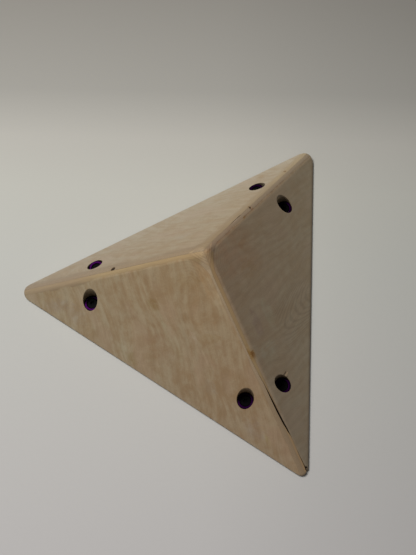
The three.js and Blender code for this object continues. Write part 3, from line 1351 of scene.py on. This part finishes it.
        down = self.round_over + self.step
        while down < FORM.ridge - 10:
            if piece.pick(Pick.FACE, wanted):
                bpy.ops.mesh.bisect(
                    plane_co=(FORM.tip + seam.ridge.way * down) * MM, plane_no=seam.ridge.way,
                    use_fill=False, threshold=1e-6,
                )
            down += self.step

    def wander(self, piece: Bench, board: Board, seam: Seam) -> None:
        """Slides the joint round the ridge, with the surface kept as it is.

        Args:
            piece: the board on the bench.
            board: the board's facts.
            seam: the joint.
        """
        other = board.beyond(seam.ridge)
        side = -1 if board.name == seam.first else 1
        radius = self.round_over

        def slide(point: Vector) -> Vector:
            """The new place of a corner of the mesh."""
            down = FORM.down(point, seam.ridge)
            a = radius - FORM.down(point, board.into)
            b = radius - FORM.down(point, other)
            if down < radius or a < -0.01 or b < -0.01 or math.hypot(a, b) < radius * 0.6:
                return point
            shift, gape = seam.at(down)
            angle = math.atan2(b, a)
            stretch = 1 + (side * shift - gape / 2) / radius / (math.pi / 4)
            turned = angle * stretch
            reach = math.hypot(a, b)
            moved = point + (a - reach * math.cos(turned)) * board.into.way
            moved += (b - reach * math.sin(turned)) * other.way
            return moved + seam.ridge.way * ((point.z - moved.z) / seam.ridge.way.z)

        piece.move(slide)

    def drill(self, piece: Bench, board: Board, bore: Bore) -> None:
        """Drills one counterbore with its shank hole, and eases its mouth.

        Args:
            piece: the board on the bench.
            board: the board's facts.
            bore: the bore's facts.
        """
        x, y = bore.axis
        seat = Vector((x, y, bore.seat))
        piece.cut(Bench.cylinder("cutter", self.bore / 2, seat, Vector((x, y, 90.0)), 96))
        floor = Vector((x, y, -6.0))
        piece.cut(Bench.cylinder("cutter", self.shank_hole / 2, floor, seat + Vector((0, 0, 1)), 48))
        outward = board.outward()

        def on_mouth(edge: Any) -> bool:
            """True for an edge between the outer face and the bore's wall."""
            if len(edge.link_faces) != 2:
                return False
            middle = (edge.verts[0].co + edge.verts[1].co) / 2 / MM
            if abs(math.hypot(middle.x - x, middle.y - y) - self.bore / 2) > 0.1:
                return False
            flat = [face.normal.dot(outward) > 0.999 for face in edge.link_faces]
            return flat[0] != flat[1] and abs(FORM.down(middle, board.into)) < 0.05

        piece.open()
        piece.pick(Pick.EDGE, on_mouth)
        bpy.ops.mesh.bevel(offset=self.mouth * MM, segments=2, profile=0.5, affect="EDGES")
        piece.close()

    @staticmethod
    def chip(piece: Bench, pit: Pit) -> None:
        """Takes one pit out of the board.

        Args:
            piece: the board on the bench.
            pit: the pit's facts.
        """
        along, into = pit.along.way, pit.into.way
        into = (into - along * along.dot(into)).normalized()
        turn = Matrix((along, into.cross(along), into)).transposed().to_quaternion()
        piece.cut(Bench.ball("cutter", FORM.place(*pit.place), pit.half_sizes, turn))

    def prick(self, piece: Bench, hole: Pinhole) -> None:
        """Drills the hole of one brad through the board.

        Args:
            piece: the board on the bench.
            hole: the hole's facts.
        """
        start = FORM.tip + hole.ridge.way * hole.down + hole.across.way * self.brad_inset
        low = start + hole.into.way * self.filler
        high = start + hole.into.way * self.brad_reach
        piece.cut(Bench.cylinder("cutter", self.pinhole / 2, low, high, 20))


@dataclass
class Washers:
    """The six cup washers, turned once and copied."""

    outer: float = 7.75
    height: float = 5.0
    rim: float = 2.45
    collar: float = 1.6
    floor: float = 0.9
    bore: float = 2.8
    lip: float = 0.45

    def build(self, names: Sequence[str]) -> None:
        """Turns the washer and puts a copy at each CAD washer.

        Args:
            names: the CAD nodes.
        """
        master = Bench.turned("cup_washer", self.profile(), 72, ring=True)
        for name in names:
            low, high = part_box(name)
            foot = Vector(((low.x + high.x) / 2, (low.y + high.y) / 2, low.z)) / MM
            washer = master.copy(name + "_turned")
            washer.move(lambda point: point + foot)
            washer.smooth(40.0)
            washer.hand_over(ANODISED_IN_PAINTED_SHADE, Slot.WASHER, [name])
        master.scrap()

    def profile(self) -> list[tuple[float, float]]:
        """The washer's section.

        Returns:
            Its corners as radius and height.
        """
        cup = self.outer - self.rim
        shoulder = self.height - self.collar
        section = [(self.bore, 0.0), (self.outer - 0.3, 0.0)]
        section += [(self.outer - 0.09, 0.09), (self.outer, 0.3)]
        section += self.curl(self.outer - self.lip, 1)
        section += self.curl(cup + self.lip, -1)
        section += [(cup, shoulder + 0.2), (cup - 0.15, shoulder), (self.bore + 0.2, self.floor + 0.15)]
        section += [(self.bore, self.floor)]
        return section

    def curl(self, middle: float, side: int) -> list[tuple[float, float]]:
        """The quarter round on one side of the lip, in the order of the section."""
        steps = [number / 5 * math.pi / 2 for number in range(6)]
        if side < 0:
            steps.reverse()
        low = self.height - self.lip
        return [(middle + side * self.lip * math.cos(a), low + self.lip * math.sin(a)) for a in steps]


@dataclass
class Screws:
    """The six countersunk wood screws, modelled once and copied."""

    length: float = 60.0
    head: float = 10.0
    edge: float = 0.5
    core: float = 3.3
    shank: float = 4.6
    plain: float = 22.0
    thread: float = 5.0
    pitch: float = 2.5
    point: float = 9.0
    recess: float = 4.6
    lobe: float = 0.4
    recess_depth: float = 2.2

    def build(self, names: Sequence[str]) -> None:
        """Models the screw and puts a copy at each CAD screw.

        Args:
            names: the CAD nodes.
        """
        master = self.master()
        for name in names:
            low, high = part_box(name)
            top = Vector(((low.x + high.x) / 2, (low.y + high.y) / 2, high.z)) / MM
            screw = master.copy(name + "_threaded")
            screw.move(lambda point: point + top)
            screw.smooth(35.0)
            screw.hand_over(BLACKENED, Slot.SCREW, [name])
        master.scrap()

    def master(self) -> Bench:
        """Models one screw with the top of its head at the origin.

        Returns:
            The screw on the bench.
        """
        head, shank, core = self.head / 2, self.shank / 2, self.core / 2
        neck = -self.edge - (head - shank)
        body = Bench.turned("wood_screw", [
            (0.0, 0.0), (head - 0.12, 0.0), (head, -0.12), (head, -self.edge), (shank, neck),
            (shank, -self.plain), (core, -self.plain - 0.8), (core, 0.4 + self.point - self.length),
            (0.25, 0.5 - self.length), (0.0, -self.length),
        ], 48, ring=False)
        body.weld(self.worm())
        body.cut(self.driver())
        return body

    def worm(self) -> Bench:
        """Models the thread: one ridge wound down the core and run out at the point.

        Returns:
            The thread on the bench.
        """
        core, crest = self.core / 2, self.thread / 2
        start = -self.plain - 1.6
        turns = int((self.length + start - 2.5) / self.pitch)
        Bench.clear()
        bpy.ops.mesh.primitive_circle_add(vertices=4, radius=MM, fill_type="NGON")
        worm = Bench("thread")
        foot, flat = core - 0.25, 0.08
        section = [(foot, start - 0.7), (crest, start - flat), (crest, start + flat), (foot, start + 0.6)]
        for vertex, (radius, height) in zip(worm.obj.data.vertices, section):
            vertex.co = (radius * MM, 0.0, height * MM)
        worm.finish_with(
            "SCREW", angle=2 * math.pi, screw_offset=-self.pitch * MM, steps=30, render_steps=30,
            iterations=turns, use_smooth_shade=False, use_merge_vertices=True, merge_threshold=1e-6,
        )

        def run_out(point: Vector) -> Vector:
            """Draws both ends of the thread in under the core."""
            foot = (point.z + self.length - 2.2) / (self.point - 2.2)
            head = 0.6 + (start - 0.9 - point.z) / self.pitch / 2
            share = max(0.1, min(1.0, foot, head))
            return Vector((point.x * share, point.y * share, point.z))

        worm.move(run_out)
        worm.open()
        bpy.ops.mesh.select_all(action="SELECT")
        bpy.ops.mesh.normals_make_consistent(inside=False)
        worm.close()
        return worm

    def driver(self) -> Bench:
        """Models the tool that presses the six-lobe recess.

        Returns:
            The tool on the bench.
        """
        facets = 72
        tool = Bench.cylinder(
            "driver", self.recess / 2, Vector((0, 0, -self.recess_depth)), Vector((0, 0, 1)), facets
        )

        def lobed(point: Vector) -> Vector:
            """Draws the tool in between its lobes."""
            angle = math.atan2(point.y, point.x)
            share = 1 - self.lobe / self.recess * (1 - math.cos(6 * angle))
            return Vector((point.x * share, point.y * share, point.z))

        tool.move(lobed)
        return tool


@dataclass
class Brads:
    """The six brads that pinned the mitres while their glue set. Their CAD form is kept."""

    def build(self, names: Sequence[str]) -> None:
        """Dresses the brads.

        Args:
            names: the CAD nodes.
        """
        material = WIRE.material()
        for name in names:
            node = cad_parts[name]
            for socket in node.material_slots:
                socket.material = material
            LOG.info("%s: CAD form in bright wire", name)


@dataclass
class Studio:
    """The wall, the lamps and the camera."""

    reach: float = 6.0
    lamp_way: Point = (-0.341, 0.224, 0.913)
    lamp_distance: float = 1.5
    lamp_size: float = 0.7
    lamp_level: float = 0.85
    lamp_colour: Colour = (1.0, 0.985, 0.955)
    sky: Colour = (0.8, 0.8, 0.78)
    sky_level: float = 0.14
    seen_level: float = 0.6
    camera_turn: Point = (-18.714, -3.318, -2.68)
    camera_reach: Point = (2.96, -22.57, -812.29)
    focal_pixels: float = 805.23
    frame_height: float = 555.0
    sensor: float = 36.0

    def build(self) -> None:
        """Makes the wall, the lamp, the world and the camera."""
        self.wall()
        self.lamp()
        self.world()
        self.camera()
        view = bpy.context.scene.view_settings
        view.view_transform = "Standard"

    def wall(self) -> None:
        """Makes the pale wall, with painted light falloff and shade in its colour, which is the floor of
        this frame.
        """
        Bench.clear()
        bpy.ops.mesh.primitive_plane_add(size=self.reach)
        wall = Bench("wall")
        wall.obj.data.materials.append(WallFinish().material())

    def lamp(self) -> None:
        """Hangs one soft lamp. At level 1, a white face square to it shows as white."""
        way = Vector(self.lamp_way).normalized()
        made = bpy.data.lights.new("soft_lamp", "AREA")
        made.shape = "DISK"
        made.size = self.lamp_size
        made.color = self.lamp_colour
        made.energy = self.lamp_level * math.pi**2 * self.lamp_distance**2
        lamp = bpy.data.objects.new("soft_lamp", made)
        bpy.context.scene.collection.objects.link(lamp)
        lamp.location = way * self.lamp_distance
        lamp.rotation_euler = way.to_track_quat("Z", "Y").to_euler()

    def world(self) -> None:
        """Makes the dim even light of the room, which the camera sees as a pale backdrop."""
        world = bpy.data.worlds.new("room")
        bpy.context.scene.world = world
        world.use_nodes = True
        recipe = Recipe(world.node_tree)
        camera = recipe.node("ShaderNodeLightPath", output="Is Camera Ray")
        strength = camera * (self.seen_level - self.sky_level) + self.sky_level
        backdrop = recipe.node(
            "ShaderNodeBackground", {}, {"Color": (*self.sky, 1.0), "Strength": strength}
        )
        recipe.node("ShaderNodeOutputWorld", {}, {"Surface": backdrop})

    def camera(self) -> None:
        """Puts the camera where the photograph was taken from."""
        turn = Vector([math.radians(angle) for angle in self.camera_turn])
        seen = Quaternion(turn.normalized(), turn.length).to_matrix()
        place = -(seen.transposed() @ Vector(self.camera_reach)) * MM
        lens = bpy.data.cameras.new("camera")
        lens.sensor_width = self.sensor
        lens.lens = self.focal_pixels / self.frame_height * self.sensor
        camera = bpy.data.objects.new("camera", lens)
        bpy.context.scene.collection.objects.link(camera)
        camera.matrix_world = Matrix.Translation(place) @ seen.transposed().to_4x4()
        bpy.context.scene.camera = camera


BOARDS = (
    Board(
        "upper_panel",
        (Bore("upper_right", (42.30, 106.33), 28.02), Bore("upper_left", (-112.73, 18.47), 26.00)),
        PlywoodFinish(
            "plywood_upper", Ridge.TOP, Ridge.LEFT, Ridge.BOTTOM, veneer=(0.353, 0.274, 0.179),
            down_first=(0.056, 0.059, 0.054), down_grain=(0.010, 0.016, 0.022),
            slant=0.3, mottle=0.6, rings=0.6, seed=2.0,
            strip_first=((0.85, 0.79, 0.71), (0.91, 0.84, 0.72)),
            strip_grain=((0.82, 0.77, 0.73), (0.81, 0.75, 0.71)),
            worn_first=(Worn(0.75),), worn_grain=(Worn(0.65, 12.0),),
            edge=0.4, line=0.08,
            patches=(
                Patch(180.5, 5.3, 2.2, 1.6, 1.2, (0.66, 0.56, 0.5)),
                # Painted shade: darkens the pit at the brad on the left ridge.
                Patch(3.7, 109.3, 2.4, 2.9, 1.8, (0.27, 0.19, 0.13)),
                Patch(92.5, 2.4, 2.6, 1.9, 0.9, (0.6, 0.46, 0.27)),
                Patch(62.0, 70.0, 3.0, 18.0, 0.7, (0.95, 0.9, 0.84)),
                Patch(47.0, 53.0, 6.0, 12.0, 0.7, (0.99, 1.01, 1.07)),
                Patch(33.0, 103.0, 8.0, 14.0, 0.7, (0.94, 0.9, 0.85)),
                Patch(185.0, 34.0, 8.0, 8.0, 0.6, (0.96, 0.9, 0.83)),
            ),
        ),
    ),
    Board(
        "lower_panel",
        (Bore("lower_left", (-113.49, -17.68), 26.44), Bore("lower_right", (39.24, -105.98), 26.29)),
        PlywoodFinish(
            "plywood_lower", Ridge.LEFT, Ridge.BOTTOM, Ridge.TOP, veneer=(0.409, 0.298, 0.175),
            down_first=(0.011, 0.024, 0.025), down_grain=(0.001, -0.001, 0.0045),
            slant=0.22, mottle=1.2, rings=0.5, seed=5.0,
            strip_first=((0.88, 0.83, 0.72), (0.79, 0.73, 0.7)),
            strip_grain=((1.0, 1.01, 1.07), (0.87, 0.86, 0.86)),
            worn_first=(Worn(0.13), Worn(0.5, 7.5, 125.0, 160.0)), worn_grain=(Worn(0.1),),
            edge=0.25, line=0.2,
            patches=(
                Patch(10.0, 32.0, 9.0, 28.0, 1.0, (1.15, 1.17, 1.2)),
                Patch(32.0, 27.0, 20.0, 11.0, 0.8, (0.93, 0.89, 0.82)),
                Patch(79.0, 42.0, 9.0, 8.0, 0.9, (0.87, 0.84, 0.72)),
                Patch(113.0, 48.0, 9.0, 6.0, 0.8, (0.87, 0.82, 0.78)),
                Patch(37.0, 85.0, 13.0, 6.0, 0.8, (0.92, 0.87, 0.78)),
                Patch(52.0, 60.0, 6.0, 7.0, 0.7, (0.9, 0.87, 0.83)),
                Patch(53.0, 82.0, 4.5, 7.0, 1.0, (1.1, 1.12, 1.22)),
                Patch(50.0, 108.0, 1.6, 15.0, 0.8, (1.08, 1.12, 1.16)),
                Patch(98.0, 85.0, 17.0, 23.0, 0.7, (0.95, 0.89, 0.87)),
                Patch(136.0, 95.0, 6.0, 9.0, 0.9, (0.88, 0.85, 0.74)),
                Patch(77.0, 80.0, 6.0, 30.0, 0.8, (1.02, 1.08, 1.1)),
                Patch(140.0, 85.0, 9.0, 13.0, 0.8, (1.03, 1.08, 1.1)),
                Patch(85.0, 138.0, 10.0, 10.0, 0.8, (0.9, 0.84, 0.77)),
                Patch(33.0, 185.0, 12.0, 14.0, 1.0, (0.99, 1.02, 1.13)),
                Patch(60.0, 135.0, 10.0, 9.0, 0.9, (1.0, 1.05, 1.15)),
                Patch(200.0, 24.0, 20.0, 9.0, 0.9, (0.97, 0.99, 1.08)),
                Patch(180.0, 38.0, 12.0, 13.0, 0.9, (1.0, 1.03, 1.13)),
                Patch(23.0, 197.0, 4.0, 8.0, 0.8, (1.02, 1.05, 0.9)),
                # Painted shade: the pit in the crack at the bottom tip is painted nearly black.
                Patch(0.0, 235.2, 0.9, 1.9, 2.0, (0.05, 0.04, 0.04)),
            ),
        ),
    ),
    Board(
        "right_panel",
        (Bore("right_bottom", (73.08, -90.16), 24.99), Bore("right_top", (69.91, 87.68), 29.47)),
        PlywoodFinish(
            "plywood_right", Ridge.BOTTOM, Ridge.TOP, Ridge.LEFT, veneer=(0.397, 0.285, 0.184),
            down_first=(0.0035, 0.0157, 0.017), down_grain=(0.0214, 0.0308, 0.024),
            slant=0.08, mottle=0.5, rings=1.2, seed=11.0,
            strip_first=((0.95, 0.87, 0.68), (0.84, 0.69, 0.52)),
            strip_grain=((0.70, 0.69, 0.70), (0.75, 0.73, 0.74)),
            # foot: painted contact shadow along this board's edge on the wall.
            worn_first=(Worn(-0.5),), worn_grain=(Worn(-0.1),), foot=0.5, arch=Arch(0.12),
            patches=(
                Patch(107.5, 4.3, 4.4, 2.0, 0.7, (0.6, 0.42, 0.2)),
                Patch(106.5, 3.6, 8.5, 3.6, 0.7, (0.84, 0.7, 0.44)),
                # A darker band beside the top ridge: partly a glue line, partly painted shade on the
                # round.
                Patch(5.3, 100.0, 1.2, 150.0, 0.9, (0.84, 0.78, 0.72)),
                Patch(4.8, 75.0, 1.2, 3.4, 0.6, (0.8, 0.62, 0.32)),
                Patch(3.0, 92.5, 2.4, 2.8, 0.9, (0.78, 0.52, 0.3)),
                # Painted highlight: a pale glint along the open joint on the top ridge.
                Patch(2.0, 64.0, 0.45, 7.0, 0.6, (1.3, 1.34, 1.5)),
                # Painted shade: the pit in the crack at the bottom tip is painted nearly black.
                Patch(235.2, 6.0, 2.4, 1.6, 2.0, (0.05, 0.04, 0.04)),
                Patch(25.0, 40.0, 24.0, 38.0, 0.8, (1.01, 0.94, 0.91)),
                Patch(47.0, 58.0, 12.0, 22.0, 0.6, (0.94, 0.87, 0.77)),
                Patch(23.0, 57.0, 8.0, 9.0, 0.5, (0.94, 0.88, 0.79)),
                Patch(90.0, 27.0, 15.0, 7.0, 1.0, (0.92, 0.89, 0.95)),
                Patch(119.0, 27.0, 13.0, 15.0, 1.0, (1.03, 1.1, 1.14)),
                Patch(93.0, 50.0, 16.0, 8.0, 0.9, (1.02, 1.1, 1.12)),
                # Splinters above the bottom bore, painted flat: pale streaks for the torn fibres, lighter
                # with a painted highlight, and dark streaks beside them for their painted shadows.
                Patch(150.3, 36.0, 1.0, 4.2, 1.6, (1.6, 1.5, 1.4)),
                Patch(148.2, 35.0, 0.9, 3.4, 1.4, (0.4, 0.34, 0.28)),
                Patch(152.6, 34.0, 0.9, 3.4, 1.4, (0.45, 0.38, 0.32)),
                Patch(154.6, 33.0, 0.9, 3.0, 1.2, (1.35, 1.3, 1.2)),
            ),
        ),
    ),
)


def named(prefix: str) -> list[str]:
    """The CAD nodes whose names start so, in order."""
    return sorted(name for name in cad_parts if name.startswith(prefix))


def main() -> None:
    """Builds the volume and its studio, piece by piece."""
    logging.basicConfig(level=logging.INFO, format="%(name)s: %(message)s")
    Shell(boards=BOARDS).build()
    Washers().build(named("cup_washer_"))
    Screws().build(named("screw_"))
    Brads().build(named("brad_"))
    Studio().build()


if __name__ == "__main__":
    main()
